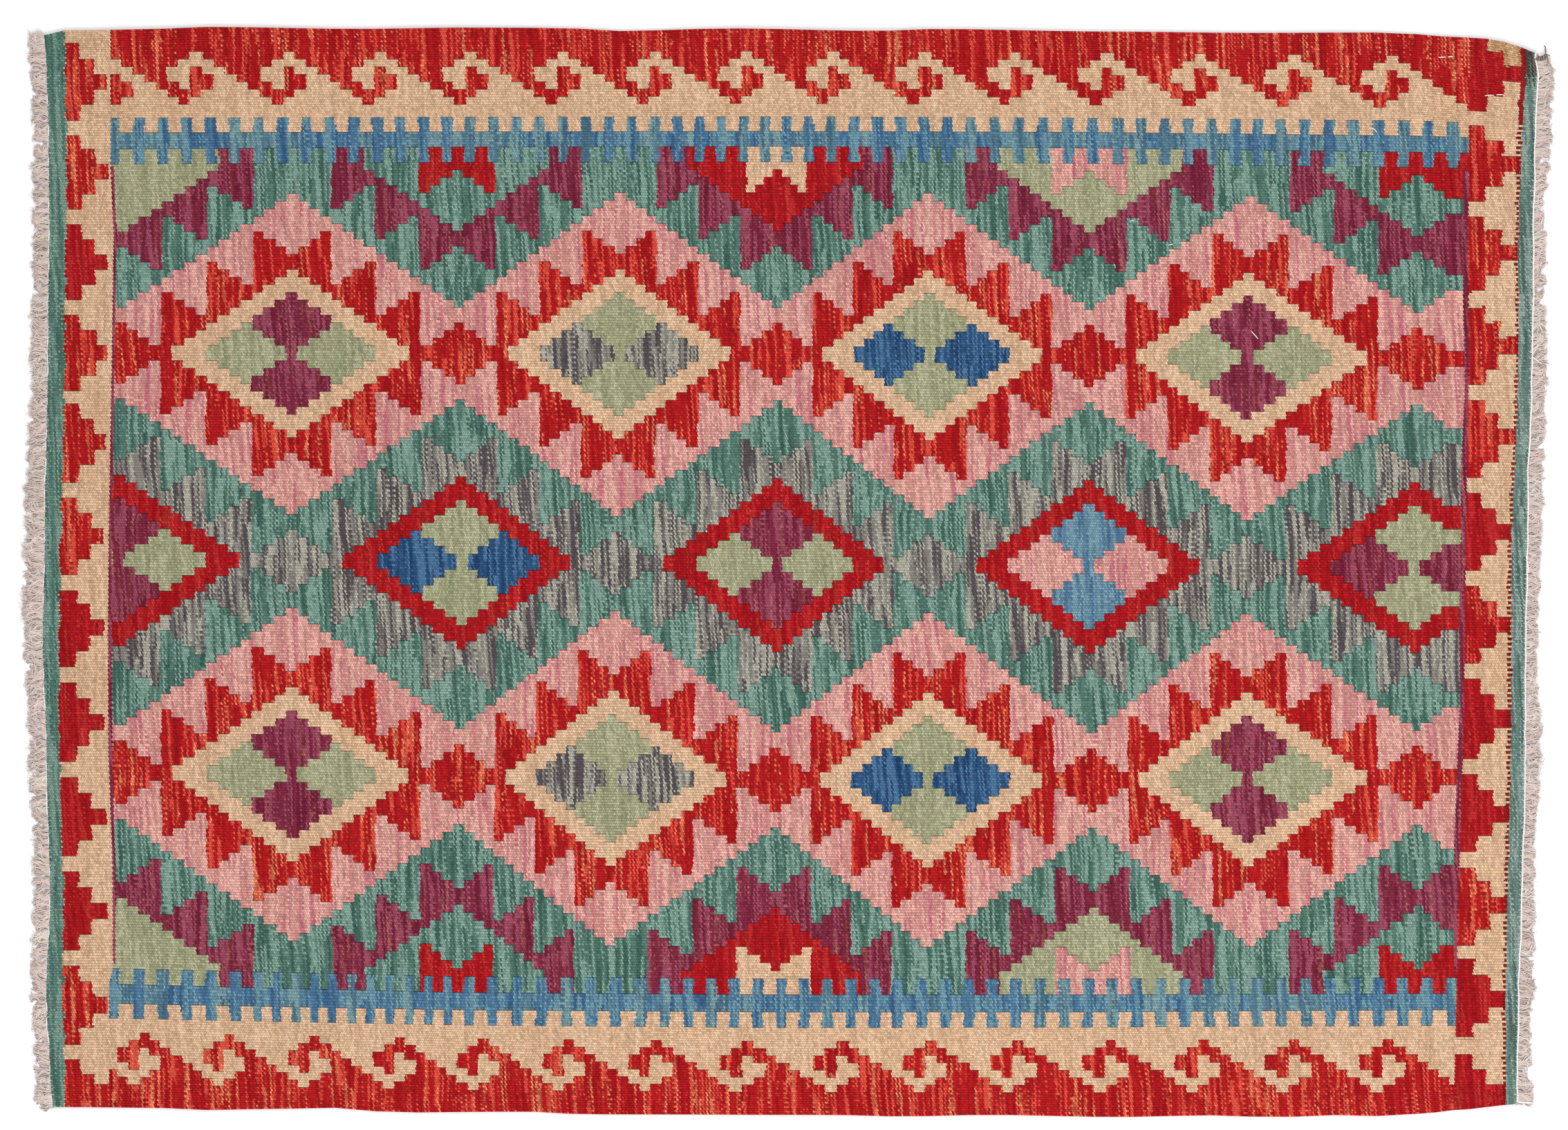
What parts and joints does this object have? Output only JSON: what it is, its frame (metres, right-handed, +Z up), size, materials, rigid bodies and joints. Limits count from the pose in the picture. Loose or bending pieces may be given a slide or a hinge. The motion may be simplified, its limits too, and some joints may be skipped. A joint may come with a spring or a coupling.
{
  "type": "kilim rug",
  "caption": "Flat-woven wool rug laid flat, one thin sheet with uneven edges and a short fringe of warp ends along each short side.",
  "frame": {"origin": "under the middle of the whole rug, fringes included, on the floor", "axes": "+X along the long side, from the left fringe to the right one; +Y across the rug; +Z up, away from the floor"},
  "size_m": [1.4694, 1.0416, 0.0026],
  "materials": {
    "cloth_wool": "matt hand-woven wool in stepped diamonds of madder red, teal, rose, cream, plum, green, grey and blue",
    "fringe_yarn": "soft unspun ends of undyed warp yarn, with a white twining thread at their roots"
  },
  "bodies": {
    "root": {"kilim_cloth": "cloth_wool", "fringe_left": "fringe_yarn", "fringe_right": "fringe_yarn"}
  },
  "joints": []
}
